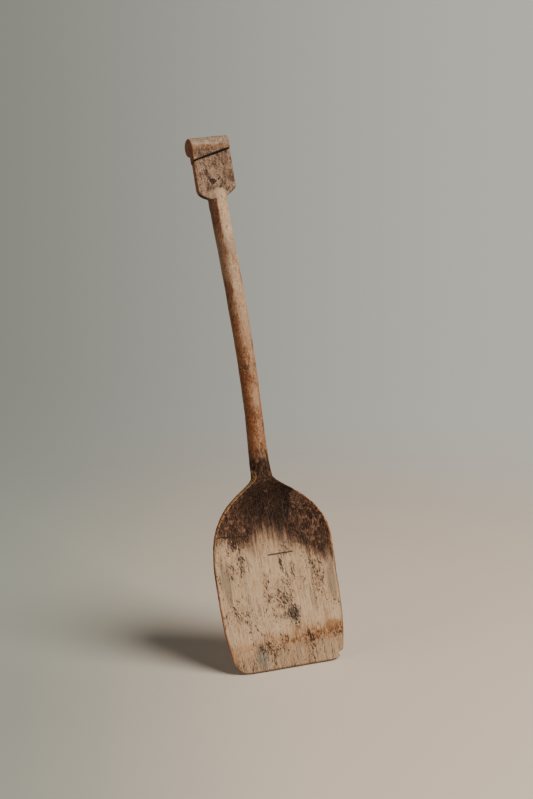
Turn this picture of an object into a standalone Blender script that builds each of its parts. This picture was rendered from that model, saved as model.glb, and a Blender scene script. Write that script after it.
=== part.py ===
"""A hand-carved wooden feed scoop: blade, shaft, paddle head and grip roll, with the pegs, pins and dowels they need.

The scoop stands on its blade edge. +Z runs up the shaft, the hollow face looks along -Y and +X is to the right
of someone who looks at that face. Every size below is in millimetres; to_mesh() and metres() turn them into metres.
"""

import math

import bmesh
import bpy
from mathutils import Matrix, Vector

# ---------------------------------------------------------------- driving sizes, in millimetres

GAP = 0.3  # clearance between two pieces that touch

BLADE_LENGTH = 383.0  # from the edge to the neck, where the shoulders meet the shaft
BLADE_HALF_WIDTH = 132.8
NECK_RADIUS = 20.0
RIM_WIDTH = 4.5  # width of the flat crest along the hollow
LAP_TOP = 410.0  # height of the shoulder where the blade's tongue stops under the shaft
TANG_END = 212.0  # height of the tang's lower tip, behind the blade
LEFT_CORNER_RADIUS = 38.0  # the left corner has worn rounder than the right one
RIGHT_CORNER_RADIUS = 26.0

HEAD_BOTTOM = 950.0  # where the paddle's shoulders leave the shaft
HEAD_HALF_WIDTH = 42.5
HEAD_CENTRE_X = 1.0
HEAD_FRONT = -14.5  # depth of the paddle's front face
HEAD_THICKNESS = 17.2
TOTAL_HEIGHT = 1083.0
ROLL_RADIUS = 19.2
ROLL_RISE = 0.034  # rise of the roll per millimetre to the right
ROLL_MIDDLE = TOTAL_HEIGHT - ROLL_RADIUS - ROLL_RISE * HEAD_HALF_WIDTH  # height of its centre line at the middle

JOINT_HEIGHT = 1042.0  # the slanted joint between paddle and roll, at the middle of the front face
JOINT_RISE_X = 0.26  # rise of that joint per millimetre to the right
JOINT_RISE_Y = -0.38  # rise of that joint per millimetre to the back

PEG_RADIUS = 4.5
PEG_HEIGHTS = {"upper": 354.0, "middle": 320.0, "lower": 286.0}
PEG_PROUD = 0.5  # how far a peg or pin stands out of the wood
TENON_BOTTOM_RADIUS = 10.5
TENON_TOP_RADIUS = 9.5
TENON_TOP = 1026.0
TENON_DEPTH = -0.5  # depth of the tenon's middle
PIN_RADIUS = 2.0
PIN_X = 6.5
PIN_BACK = 12.0  # depth at which the head's pins stop, short of its back
PIN_HEIGHTS = {"upper": 990.0, "lower": 973.0}
DOWEL_RADIUS = 4.0
DOWEL_HALF_LENGTH = 17.0
DOWEL_SPREAD = 25.0  # each dowel's distance from the middle of the head

DEPTH_CENTRE = 3.3  # moves the model back so that its box is centred on the origin

RING_POINTS = 40  # points round each section of a lofted piece
ROUND_POINTS = 20  # sides of a peg or dowel


def smooth_curve(*points):
    """A monotone cubic through (position, value) points, held level past both ends."""
    at = [p[0] for p in points]
    value = [p[1] for p in points]
    slope = [(value[i + 1] - value[i]) / (at[i + 1] - at[i]) for i in range(len(at) - 1)]
    tangent = [0.0] * len(at)
    for i in range(1, len(at) - 1):
        if slope[i - 1] * slope[i] > 0:
            tangent[i] = 2 * slope[i - 1] * slope[i] / (slope[i - 1] + slope[i])

    def read(position):
        position = min(max(position, at[0]), at[-1])
        i = max(k for k in range(len(at) - 1) if at[k] <= position)
        span = at[i + 1] - at[i]
        t = (position - at[i]) / span
        a = (1 + 2 * t) * (1 - t) ** 2 * value[i]
        b = t * (1 - t) ** 2 * span * tangent[i]
        c = t * t * (3 - 2 * t) * value[i + 1]
        d = t * t * (t - 1) * span * tangent[i + 1]
        return a + b + c + d

    return read


# ---------------------------------------------------------------- shape curves, each read at a height z

# The blade: half width, then depth of its rim, edge middle, hollow and back. Depth 0 is the shaft's axis at the neck.
blade_half_width = smooth_curve(
    (26, 122.0), (55, 126.2), (87, 129.8), (135, 132.0), (199, BLADE_HALF_WIDTH), (247, 130.4), (271, 125.8),
    (287, 119.6), (303, 110.8), (319, 98.6), (335, 82.4), (351, 61.2), (367, 36.5), (375, 26.0),
    (BLADE_LENGTH, 20.6), (LAP_TOP, NECK_RADIUS),
)
blade_rim = smooth_curve(
    (0, 1.4), (150, 1.2), (205, -0.8), (245, -6.5), (285, -12.5), (320, -15.6), (345, -17.2), (365, -18.8),
    (380, -20.2), (LAP_TOP, -NECK_RADIUS),
)
blade_edge = smooth_curve(
    (0, 4.0), (100, 5.6), (190, 4.6), (235, 0.5), (285, -5.0), (308, -4.0), (332, 0.0), (352, 3.0), (372, 4.0),
    (LAP_TOP, 0.0),
)
blade_hollow = smooth_curve(
    (0, 1.5), (60, 4.0), (130, 6.5), (200, 8.0), (255, 8.4), (300, 6.0), (328, 1.0), (350, -7.0), (368, -15.0),
    (382, -20.0), (395, -26.0), (LAP_TOP, -30.0),
)
blade_back = smooth_curve(
    (0, 7.0), (60, 12.2), (130, 15.6), (200, 17.4), (260, 18.0), (300, 17.6), (345, 18.0), (BLADE_LENGTH, 19.4),
    (LAP_TOP, NECK_RADIUS),
)
blade_squareness = smooth_curve((0, 7.0), (300, 7.0), (350, 5.0), (BLADE_LENGTH, 3.2), (LAP_TOP, 2.1))
back_squareness = smooth_curve((0, 3.4), (180, 3.2), (260, 2.3), (BLADE_LENGTH, 2.0))
hollow_wall = smooth_curve((0, 2.0), (200, 2.4), (300, 3.4), (LAP_TOP, 2.2))

# The shaft: radius and the bow of its middle, with the tang behind the blade. The head's rib carries on from it.
shaft_radius = smooth_curve(
    (TANG_END, 6.0), (224, 9.2), (250, 12.2), (290, 15.0), (350, 17.8), (LAP_TOP, NECK_RADIUS), (440, 19.4),
    (515, 18.0), (620, 18.4), (760, 19.0), (HEAD_BOTTOM, 19.0), (TOTAL_HEIGHT, 14.0),
)
shaft_middle_x = smooth_curve((LAP_TOP, 0.0), (520, 1.8), (660, 3.0), (800, 2.4), (HEAD_BOTTOM, HEAD_CENTRE_X))
shaft_middle_y = smooth_curve(
    (TANG_END, 12.6), (250, 11.0), (290, 8.8), (350, 4.6), (LAP_TOP, 0.0), (530, -9.0), (640, -12.4), (760, -11.0),
    (870, -6.5), (HEAD_BOTTOM, -3.0), (TOTAL_HEIGHT, -2.0),
)
lap_depth = smooth_curve((TANG_END, 14.6), (280, 13.0), (330, 8.6), (360, 4.5), (LAP_TOP, -2.0))
head_left = smooth_curve(  # how far the paddle reaches to the left; its right shoulder sits higher
    (HEAD_BOTTOM, 19.0), (952, 24.0), (955, 31.0), (959.5, 37.5), (965, 41.3), (973, HEAD_HALF_WIDTH),
)
head_right = smooth_curve(
    (HEAD_BOTTOM, 19.0), (954.5, 20.2), (957.5, 24.0), (962, 31.0), (967, 37.5), (971.5, 41.6), (977, HEAD_HALF_WIDTH),
)
tongue_share = smooth_curve((HEAD_BOTTOM, 1.0), (984, 0.0))  # how much of the round stands out of the paddle's face
HEAD_MIDDLE = HEAD_FRONT + HEAD_THICKNESS / 2


# ---------------------------------------------------------------- sections


def superellipse(share, power):
    """Height above the middle of a rounded slab, at a share from -1 to 1 of its half width."""
    return max(0.0, 1.0 - abs(share) ** power) ** (1.0 / power)


def blend_max(a, b, radius):
    """The larger of two depths, with the crease between them rounded."""
    h = max(radius - abs(a - b), 0.0) / radius
    return max(a, b) + h * h * radius / 4


def ring(z, left, right, front, back):
    """One closed section at height z, anticlockwise from above. front and back give a depth at a share and at x."""
    points = []
    for k in range(RING_POINTS):
        turn = 2 * math.pi * k / RING_POINTS
        share = math.cos(turn)
        x = (right + left) / 2 + share * (right - left) / 2
        depth = back(share, x) if k < RING_POINTS / 2 else front(share, x)
        points.append(Vector((x, depth, z)))
    return points


def corner(z, radius, side):
    """How wide the blade reaches at height z where a worn corner of that radius rounds it off."""
    if z >= radius:
        return side
    return side - radius + math.sqrt(radius**2 - (radius - z) ** 2)


def blade_ring(z):
    half = blade_half_width(z)
    left = -corner(z, LEFT_CORNER_RADIUS, half)
    right = corner(z, RIGHT_CORNER_RADIUS, half)
    middle = blade_edge(z)
    crest = 1.0 - RIM_WIDTH / half

    def back(share, _):
        return middle + (blade_back(z) - middle) * superellipse(share, back_squareness(z))

    def front(share, _):
        blank = middle - (middle - blade_rim(z)) * superellipse(share, blade_squareness(z))
        wall = blade_hollow(z) - blade_rim(z)
        hollow = blade_hollow(z) - wall * abs(share / crest) ** hollow_wall(z)
        return blend_max(blank, hollow, 1.6)

    return ring(z, left, right, front, back)


def round_ring(z, radius, middle_x, middle_y):
    def half_depth(share):
        return radius * math.sqrt(max(0.0, 1.0 - share**2))

    def front(share, _):
        return middle_y - half_depth(share)

    def back(share, _):
        return middle_y + half_depth(share)

    return ring(z, middle_x - radius, middle_x + radius, front, back)


def shaft_ring(z, grow=0.0):
    """The shaft's round section at height z; grow adds to its radius."""
    return round_ring(z, shaft_radius(z) + grow, shaft_middle_x(z), shaft_middle_y(z))


def tenon_ring(z, grow=0.0):
    part = (z - HEAD_BOTTOM) / (TENON_TOP - HEAD_BOTTOM)
    radius = TENON_BOTTOM_RADIUS + part * (TENON_TOP_RADIUS - TENON_BOTTOM_RADIUS) + grow
    return round_ring(z, radius, HEAD_CENTRE_X, TENON_DEPTH)


def rib_half_depth(z, x):
    """Half depth of the round rib that carries the shaft's line on through the head."""
    return math.sqrt(max(0.0, shaft_radius(z) ** 2 - (x - HEAD_CENTRE_X) ** 2))


def head_front(z, x, share):
    """Depth of the head's front: the paddle's face with the tongue that rises from the shaft."""
    face = HEAD_MIDDLE - HEAD_THICKNESS / 2 * superellipse(share, 7.0)
    tongue = shaft_middle_y(z) - rib_half_depth(z, x)
    return face + min(0.0, tongue - face) * tongue_share(z)


def head_ring(z):
    def front(share, x):
        return head_front(z, x, share)

    def back(share, x):
        rib = shaft_middle_y(z) + rib_half_depth(z, x)
        return blend_max(rib, HEAD_MIDDLE + HEAD_THICKNESS / 2 * superellipse(share, 7.0), 3.0)

    return ring(z, HEAD_CENTRE_X - head_left(z), HEAD_CENTRE_X + head_right(z), front, back)


def joint_height(x, y):
    """Height of the slanted joint under the grip roll."""
    return JOINT_HEIGHT + JOINT_RISE_X * (x - HEAD_CENTRE_X) + JOINT_RISE_Y * (y - HEAD_FRONT)


# ---------------------------------------------------------------- making objects


def metres(*millimetres):
    return Vector(millimetres) * 0.001


def matt_material(name, colour, roughness):
    material = bpy.data.materials.new(name)
    material.use_nodes = True
    surface = material.node_tree.nodes["Principled BSDF"]
    surface.inputs["Base Color"].default_value = (*colour, 1.0)
    surface.inputs["Roughness"].default_value = roughness
    surface.inputs["Metallic"].default_value = 0.0
    return material


def to_mesh(name, build, origin, material, parent):
    """An object whose mesh build(bm) makes in millimetres, with its own origin at that point."""
    bm = bmesh.new()
    build(bm)
    bm.transform(Matrix.Translation(-Vector(origin)))
    bm.transform(Matrix.Scale(0.001, 4))
    bmesh.ops.recalc_face_normals(bm, faces=bm.faces)
    mesh = bpy.data.meshes.new(name)
    bm.to_mesh(mesh)
    bm.free()
    mesh.shade_smooth()
    mesh.set_sharp_from_angle(angle=math.radians(35))
    made = bpy.data.objects.new(name, mesh)
    bpy.context.scene.collection.objects.link(made)
    made.parent = parent
    made.location = metres(*origin)
    if material:
        mesh.materials.append(material)
    else:
        made.hide_render = True
        made.display_type = "WIRE"
    return made


def loft(rings):
    """A builder that joins closed rings of equal length, from the lowest to the highest, and closes both ends."""

    def build(bm):
        rows = [[bm.verts.new(p) for p in r] for r in rings]
        count = len(rows[0])
        for low, high in zip(rows, rows[1:]):
            for k in range(count):
                n = (k + 1) % count
                bm.faces.new((low[k], low[n], high[n], high[k]))
        bm.faces.new(rows[0][::-1])
        bm.faces.new(rows[-1])

    return build


def prism(outline, low, high, axis, rise=0.0):
    """A builder that extrudes an outline of two-number points along X (axis 0) or Y (axis 1), rising as it goes."""

    def place(point, along):
        first, second = point
        second += rise * (along - (low + high) / 2)
        return Vector((along, first, second)) if axis == 0 else Vector((first, along, second))

    def build(bm):
        ends = [[bm.verts.new(place(p, along)) for p in outline] for along in (low, high)]
        count = len(outline)
        for k in range(count):
            n = (k + 1) % count
            bm.faces.new((ends[0][k], ends[0][n], ends[1][n], ends[1][k]))
        bm.faces.new(ends[0][::-1])
        bm.faces.new(ends[1])

    return build


def rod(centre, direction, radius, half_length):
    """A builder for a plain round rod."""

    def build(bm):
        turn = Vector(direction).to_track_quat("Z", "Y").to_matrix().to_4x4()
        bmesh.ops.create_cone(
            bm, cap_ends=True, segments=ROUND_POINTS, radius1=radius, radius2=radius, depth=2 * half_length,
            matrix=Matrix.Translation(Vector(centre)) @ turn,
        )

    return build


def cut(piece, *cutters):
    for cutter in cutters:
        boolean = piece.modifiers.new("cut_" + cutter.name, "BOOLEAN")
        boolean.operation = "DIFFERENCE"
        boolean.solver = "EXACT"
        boolean.object = cutter


def heights(*spans):
    """Section heights: each span is (start, end, step), and an end is shared with the next start."""
    found = []
    for start, end, step in spans:
        count = max(1, round((end - start) / step))
        found += [start + (end - start) * k / count for k in range(count)]
    return found + [spans[-1][1]]


# ---------------------------------------------------------------- pieces


def blade_builder():
    steps = 8
    corner_rows = [LEFT_CORNER_RADIUS * (1 - math.cos(math.pi / 2 * k / steps)) for k in range(steps)]
    rows = corner_rows + heights((LEFT_CORNER_RADIUS, 240, 14), (240, 335, 8), (335, 383, 6), (383, LAP_TOP - GAP, 9))
    return loft([blade_ring(z) for z in rows])


def shaft_builder():
    """Tang, shaft, shoulder and tenon in one loft; the shoulder is two rings at the same height."""
    rows = heights((TANG_END, 224, 4), (224, LAP_TOP, 16), (LAP_TOP, HEAD_BOTTOM - GAP, 22))
    shoulder = [tenon_ring(z) for z in (HEAD_BOTTOM - GAP, TENON_TOP)]
    return loft([shaft_ring(z) for z in rows] + shoulder)


def groove_builder():
    rows = heights((TANG_END - GAP, 224, 4), (224, LAP_TOP, 16), (LAP_TOP, LAP_TOP + 20, 10))
    return loft([shaft_ring(z, grow=GAP) for z in rows])


def head_builder():
    rows = heights((HEAD_BOTTOM, 980, 2.5), (980, 990, 5), (990, ROLL_MIDDLE, 18))
    return loft([head_ring(z) for z in rows])


def mortise_builder():
    return loft([tenon_ring(z, grow=GAP) for z in (HEAD_BOTTOM - 5, TENON_TOP + GAP)])


def lap_builder(ahead=0.0):
    """Everything in front of the lap face, up to the shoulder. ahead moves the lap face forward."""
    reach = 60.0
    rows = heights((TANG_END - reach, TANG_END, reach), (TANG_END, LAP_TOP, 18))
    outline = [(lap_depth(z) - ahead, z) for z in rows] + [(-reach, LAP_TOP), (-reach, TANG_END - reach)]
    return prism(outline, -reach, reach, axis=0)


def roll_outline():
    """The roll's side profile: flat front, round top and back, then a fillet down to the web's back face."""
    centre_y, centre_z = HEAD_FRONT + ROLL_RADIUS, ROLL_MIDDLE
    web_back = HEAD_FRONT + HEAD_THICKNESS
    below = 1010.0
    steps = 18
    arc = [math.pi * (1 - 1.5 * k / steps) for k in range(steps + 1)]
    outline = [(centre_y + ROLL_RADIUS * math.cos(a), centre_z + ROLL_RADIUS * math.sin(a)) for a in arc]
    return outline + [(web_back + 1.2, outline[-1][1] - 0.6), (web_back, outline[-1][1] - 3.0), (web_back, below),
                      (HEAD_FRONT, below)]


def joint_cutter_builder(above, shift):
    """A block with the slanted joint as its face: all that lies above it, or all that lies below it."""
    far = 90.0

    def build(bm):
        corners = [(-far, -far), (far, -far), (far, far), (-far, far)]
        face = [bm.verts.new((x, y, joint_height(x, y) + shift)) for x, y in corners]
        end = [bm.verts.new((x, y, JOINT_HEIGHT + (far if above else -far))) for x, y in corners]
        for k in range(4):
            n = (k + 1) % 4
            bm.faces.new((face[k], face[n], end[n], end[k]))
        bm.faces.new(face)
        bm.faces.new(end)

    return build


def add_pegs(parent, material, blade, shaft):
    """Three treenails through the blade's floor and the tang, each in a drilled hole."""
    for name, z in PEG_HEIGHTS.items():
        front = blade_hollow(z) - PEG_PROUD
        back = shaft_middle_y(z) + shaft_radius(z) + PEG_PROUD
        centre = (0.0, (front + back) / 2, z)
        to_mesh("blade_peg_" + name, rod(centre, (0, 1, 0), PEG_RADIUS, (back - front) / 2), centre, material, parent)
        hole = to_mesh("hole_" + name, rod(centre, (0, 1, 0), PEG_RADIUS + GAP, 60), centre, None, parent)
        cut(blade, hole)
        cut(shaft, hole)


def add_pins(parent, material, head, shaft):
    """Two thin pins driven from the front through the head and the tenon, blind in the rib behind."""
    for name, z in PIN_HEIGHTS.items():
        front = head_front(z, PIN_X, (PIN_X - HEAD_CENTRE_X) / HEAD_HALF_WIDTH) - PEG_PROUD
        centre = (PIN_X, (front + PIN_BACK) / 2, z)
        half = (PIN_BACK - front) / 2
        to_mesh("head_pin_" + name, rod(centre, (0, 1, 0), PIN_RADIUS, half), centre, material, parent)
        hole = to_mesh("pin_hole_" + name, rod(centre, (0, 1, 0), PIN_RADIUS + GAP, half + GAP), centre, None, parent)
        cut(head, hole)
        cut(shaft, hole)


def add_dowels(parent, material, head, roll):
    """Two hidden dowels that stand upright across the slanted joint, half in the paddle and half in the roll."""
    for name, side in (("left", -1), ("right", 1)):
        x = HEAD_CENTRE_X + side * DOWEL_SPREAD
        centre = (x, HEAD_MIDDLE, joint_height(x, HEAD_MIDDLE))
        up = (0, 0, 1)
        to_mesh("roll_dowel_" + name, rod(centre, up, DOWEL_RADIUS, DOWEL_HALF_LENGTH), centre, material, parent)
        bore = rod(centre, up, DOWEL_RADIUS + GAP, DOWEL_HALF_LENGTH + GAP)
        hole = to_mesh("bore_" + name, bore, centre, None, parent)
        cut(head, hole)
        cut(roll, hole)


def main():
    for old in list(bpy.data.objects):
        bpy.data.objects.remove(old)
    scoop = bpy.data.objects.new("feed_scoop", None)
    bpy.context.scene.collection.objects.link(scoop)
    scoop.location = metres(0, DEPTH_CENTRE, 0)

    blade_wood = matt_material("blade_wood", (0.46, 0.31, 0.20), 0.78)
    shaft_wood = matt_material("shaft_wood", (0.40, 0.23, 0.13), 0.62)
    head_wood = matt_material("head_wood", (0.37, 0.24, 0.16), 0.66)
    roll_wood = matt_material("roll_wood", (0.40, 0.27, 0.18), 0.66)
    peg_wood = matt_material("peg_wood", (0.20, 0.12, 0.07), 0.70)
    pin_iron = matt_material("pin_iron", (0.07, 0.055, 0.05), 0.75)

    neck = (0.0, 0.0, LAP_TOP)
    blade = to_mesh("blade", blade_builder(), (0, 0, 0), blade_wood, scoop)
    shaft = to_mesh("shaft", shaft_builder(), neck, shaft_wood, scoop)
    shoulder = (HEAD_CENTRE_X, 0.0, HEAD_BOTTOM)
    head = to_mesh("handle_head", head_builder(), shoulder, head_wood, scoop)
    roll_centre = (HEAD_CENTRE_X, HEAD_FRONT + ROLL_RADIUS, ROLL_MIDDLE)
    left, right = HEAD_CENTRE_X - HEAD_HALF_WIDTH, HEAD_CENTRE_X + HEAD_HALF_WIDTH
    roll = to_mesh("grip_roll", prism(roll_outline(), left, right, axis=0, rise=ROLL_RISE), roll_centre, roll_wood, scoop)

    lap = to_mesh("lap_waste", lap_builder(), neck, None, scoop)
    groove_lap = to_mesh("groove_lap", lap_builder(ahead=GAP), neck, None, scoop)
    groove = to_mesh("groove", groove_builder(), neck, None, scoop)
    cut(groove, groove_lap)
    cut(blade, groove)
    cut(shaft, lap)
    mortise = to_mesh("mortise", mortise_builder(), shoulder, None, scoop)
    cut(head, mortise)

    above = to_mesh("above_joint", joint_cutter_builder(True, -GAP / 2), roll_centre, None, scoop)
    below = to_mesh("below_joint", joint_cutter_builder(False, GAP / 2), roll_centre, None, scoop)
    cut(head, above)
    cut(roll, below)
    add_pegs(scoop, peg_wood, blade, shaft)
    add_pins(scoop, pin_iron, head, shaft)
    add_dowels(scoop, peg_wood, head, roll)


main()
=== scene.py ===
"""Looks for the wooden feed scoop: worn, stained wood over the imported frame, on a pale floor in soft light."""

import math

import bmesh
import bpy
import numpy as np
from mathutils import Matrix, Vector, noise


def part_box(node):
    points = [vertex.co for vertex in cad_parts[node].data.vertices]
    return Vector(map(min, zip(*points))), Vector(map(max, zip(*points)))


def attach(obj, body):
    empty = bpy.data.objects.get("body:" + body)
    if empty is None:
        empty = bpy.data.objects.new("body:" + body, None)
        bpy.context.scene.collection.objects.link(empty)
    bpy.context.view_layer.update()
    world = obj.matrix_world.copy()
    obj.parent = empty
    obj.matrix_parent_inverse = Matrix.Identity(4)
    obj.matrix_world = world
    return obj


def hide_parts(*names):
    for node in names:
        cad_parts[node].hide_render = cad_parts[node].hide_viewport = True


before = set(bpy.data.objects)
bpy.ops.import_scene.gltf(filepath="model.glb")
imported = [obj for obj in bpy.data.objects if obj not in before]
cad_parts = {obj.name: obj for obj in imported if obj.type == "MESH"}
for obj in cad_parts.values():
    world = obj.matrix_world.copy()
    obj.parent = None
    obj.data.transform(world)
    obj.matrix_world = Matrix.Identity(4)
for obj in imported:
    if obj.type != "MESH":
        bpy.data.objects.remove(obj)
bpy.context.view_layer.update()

MM = 0.001

# ---------------------------------------------------------------- heights and sizes from the frame, in millimetres


def size_of(node):
    """Lowest and highest corner of a CAD node, in millimetres."""
    low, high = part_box(node)
    return low / MM, high / MM


BLADE_HIGH = size_of("blade")[1]
SHAFT_LOW, SHAFT_HIGH = size_of("shaft")
HEAD_LOW, HEAD_HIGH = size_of("handle_head")
ROLL_LOW, ROLL_HIGH = size_of("grip_roll")

DEPTH = 3.3  # depth in the frame of the shaft's axis at the neck; the curves below count from there
GAP = 0.3  # between touching pieces
LAP_TOP = BLADE_HIGH.z + GAP
TANG_END = SHAFT_LOW.z
NECK = 383.0
NECK_RADIUS = 20.0
HALF_WIDTH = BLADE_HIGH.x
HEAD_BOTTOM = HEAD_LOW.z
HEAD_HALF = (HEAD_HIGH.x - HEAD_LOW.x) / 2
HEAD_X = (HEAD_HIGH.x + HEAD_LOW.x) / 2
HEAD_THICK = 17.2
HEAD_FRONT = ROLL_LOW.y - DEPTH
HEAD_MIDDLE = HEAD_FRONT + HEAD_THICK / 2
ROLL_RADIUS = 19.2
ROLL_RISE = 0.034  # rise of the roll per millimetre to the right
TOP = ROLL_HIGH.z
ROLL_MIDDLE = TOP - ROLL_RADIUS - ROLL_RISE * HEAD_HALF  # height of its centre line at the middle
JOINT_HEIGHT, JOINT_RISE_X, JOINT_RISE_Y = 1042.0, 0.26, -0.38  # the slanted joint, at the head's front middle
TENON_RADIUS, TENON_DEPTH = 10.0, -0.5
CREST = 4.5  # width of the rim's crest
SHARP = math.radians(48)  # an edge sharper than this isn't shaded smooth


def smooth_curve(*points):
    """A monotone cubic through (position, value) points, held level past both ends."""
    at = [p[0] for p in points]
    value = [p[1] for p in points]
    slope = [(value[i + 1] - value[i]) / (at[i + 1] - at[i]) for i in range(len(at) - 1)]
    tangent = [0.0] * len(at)
    for i in range(1, len(at) - 1):
        if slope[i - 1] * slope[i] > 0:
            tangent[i] = 2 * slope[i - 1] * slope[i] / (slope[i - 1] + slope[i])

    def read(position):
        position = min(max(position, at[0]), at[-1])
        i = max(k for k in range(len(at) - 1) if at[k] <= position)
        span = at[i + 1] - at[i]
        t = (position - at[i]) / span
        a = (1 + 2 * t) * (1 - t) ** 2 * value[i]
        b = t * (1 - t) ** 2 * span * tangent[i]
        c = t * t * (3 - 2 * t) * value[i + 1]
        d = t * t * (t - 1) * span * tangent[i + 1]
        return a + b + c + d

    return read


blade_half_width = smooth_curve(
    (26, 122.0), (55, 126.2), (87, 129.8), (135, 132.0), (199, HALF_WIDTH), (247, 130.4), (271, 125.8),
    (287, 119.6), (303, 110.8), (319, 98.6), (335, 82.4), (351, 61.2), (367, 36.5), (375, 26.0),
    (NECK, 20.6), (LAP_TOP, NECK_RADIUS),
)
worn_left = smooth_curve(
    (0, -86.0), (3, -100.0), (8, -108.5), (14, -114.5), (25, -120.8), (37, -125.0), (70, -129.2), (110, -132.2),
)
chipped_right = smooth_curve(
    (0, 96.0), (3, 104.5), (6.5, 109.5), (9, 109.0), (12, 106.4), (14.5, 108.6), (16.5, 116.5), (22, 119.8),
    (36, 122.6), (70, 128.2), (110, 131.6),
)
blade_rim = smooth_curve(
    (0, 1.4), (150, 1.2), (205, -0.8), (245, -6.5), (285, -12.5), (320, -15.6), (345, -17.2), (365, -18.8),
    (380, -20.2), (LAP_TOP, -NECK_RADIUS),
)
blade_edge = smooth_curve(
    (0, 4.0), (100, 5.6), (190, 4.6), (235, 0.5), (285, -5.0), (308, -4.0), (332, 0.0), (352, 3.0), (372, 4.0),
    (LAP_TOP, 0.0),
)
blade_hollow = smooth_curve(
    (0, 1.5), (60, 4.0), (130, 6.5), (200, 8.0), (255, 8.4), (300, 6.0), (328, 1.0), (350, -7.0), (368, -15.0),
    (382, -20.0), (395, -26.0), (LAP_TOP, -30.0),
)
blade_back = smooth_curve(
    (0, 7.0), (60, 12.2), (130, 15.6), (200, 17.4), (260, 18.0), (300, 17.6), (345, 18.0), (NECK, 19.4),
    (LAP_TOP, NECK_RADIUS),
)
blade_squareness = smooth_curve((0, 7.0), (300, 7.0), (350, 5.0), (NECK, 3.2), (LAP_TOP, 2.1))
back_squareness = smooth_curve((0, 3.4), (180, 3.2), (260, 2.3), (NECK, 2.0))
hollow_wall = smooth_curve((0, 2.0), (200, 2.4), (300, 3.4), (LAP_TOP, 2.2))
shaft_radius = smooth_curve(
    (TANG_END, 6.0), (224, 9.2), (250, 12.2), (290, 15.0), (350, 17.8), (LAP_TOP, NECK_RADIUS), (440, 19.4),
    (515, 18.0), (620, 18.4), (760, 19.0), (HEAD_BOTTOM, 19.0), (TOP, 14.0),
)
shaft_middle_x = smooth_curve((LAP_TOP, 0.0), (520, 1.8), (660, 3.0), (800, 2.4), (HEAD_BOTTOM, HEAD_X))
shaft_middle_y = smooth_curve(
    (TANG_END, 12.6), (250, 11.0), (290, 8.8), (350, 4.6), (LAP_TOP, 0.0), (530, -9.0), (640, -12.4), (760, -11.0),
    (870, -6.5), (HEAD_BOTTOM, -3.0), (TOP, -2.0),
)
lap_depth = smooth_curve((TANG_END, 14.6), (280, 13.0), (330, 8.6), (360, 4.5), (LAP_TOP, -2.0))
head_left = smooth_curve(  # how far the paddle reaches to the left; its right shoulder sits higher
    (HEAD_BOTTOM, 19.0), (952, 24.0), (955, 31.0), (959.5, 37.5), (965, 41.3), (973, HEAD_HALF),
)
head_right = smooth_curve(
    (HEAD_BOTTOM, 19.0), (954.5, 20.2), (957.5, 24.0), (962, 31.0), (967, 37.5), (971.5, 41.6), (977, HEAD_HALF),
)
tongue_share = smooth_curve((HEAD_BOTTOM, 1.0), (984, 0.0))


def superellipse(share, power):
    """1 in the middle, 0 where share is 1; squarer as power grows."""
    return max(0.0, 1.0 - abs(share) ** power) ** (1.0 / power)


def blend_max(a, b, radius):
    """The larger of two depths, with the crossing rounded off."""
    h = max(radius - abs(a - b), 0.0) / radius
    return max(a, b) + h * h * radius / 4


def step(low, high, value):
    """0 below low, 1 above high, smooth between."""
    t = min(max((value - low) / (high - low), 0.0), 1.0)
    return t * t * (3 - 2 * t)


def rough(x, y, z, seed=0.0):
    """Signed noise of about unit size; the arguments are already divided by the lump's size along each axis."""
    return noise.noise(Vector((x + seed, y - seed * 0.7, z + seed * 1.3)))


def joint_height(x, y):
    """Height of the slanted joint between the paddle and the roll."""
    return JOINT_HEIGHT + JOINT_RISE_X * (x - HEAD_X) + JOINT_RISE_Y * (y - HEAD_FRONT)


# ---------------------------------------------------------------- making meshes


def solid(name, rings, marks=None):
    """A closed mesh through rings of equal length, in millimetres from the neck's axis. marks adds vertex values."""
    count = len(rings[0])
    points = [p for r in rings for p in r]
    faces = []
    for row in range(len(rings) - 1):
        base = row * count
        for k in range(count):
            n = (k + 1) % count
            faces.append((base + k, base + n, base + count + n, base + count + k))
    low, high = len(points), len(points) + 1
    points += [tuple(np.mean(rings[0], axis=0)), tuple(np.mean(rings[-1], axis=0))]
    last = (len(rings) - 1) * count
    for k in range(count):
        n = (k + 1) % count
        faces.append((low, n, k))
        faces.append((high, last + k, last + n))
    mesh = bpy.data.meshes.new(name)
    mesh.from_pydata([(x * MM, (y + DEPTH) * MM, z * MM) for x, y, z in points], [], faces)
    for label, values in (marks or {}).items():
        layer = mesh.attributes.new(label, "FLOAT", "POINT")
        layer.data.foreach_set("value", values + [0.0, 0.0])
    bm = bmesh.new()
    bm.from_mesh(mesh)
    bmesh.ops.recalc_face_normals(bm, faces=bm.faces)
    bm.to_mesh(mesh)
    bm.free()
    mesh.shade_smooth()
    mesh.set_sharp_from_angle(angle=SHARP)
    made = bpy.data.objects.new(name, mesh)
    bpy.context.scene.collection.objects.link(made)
    return made


def spaced(*spans):
    """Positions along a line: each span is (start, end, step), and an end is shared with the next start."""
    found = []
    for start, end, stride in spans:
        count = max(1, round(abs(end - start) / stride))
        found += [start + (end - start) * k / count for k in range(count)]
    return found + [spans[-1][1]]


# ---------------------------------------------------------------- blade

FRONT_COLUMNS = 130
BACK_COLUMNS = 44
GROOVE_COLUMNS = 10


def blade_side(z, side):
    """How far the worn outline reaches at height z, to the left (-1) or to the right (1)."""
    half = blade_half_width(z)
    if side < 0:
        reach = max(-half, worn_left(z)) if z < 110 else -half
    else:
        reach = min(half, chipped_right(z)) if z < 110 else half
    worn = step(372, 330, z)
    wobble = 0.9 * rough(z / 38, side * 5, 0) + 0.45 * rough(z / 9, side * 5, 3) + 0.2 * rough(z / 3.5, side, 7)
    return reach - side * worn * (0.6 + wobble)


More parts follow.
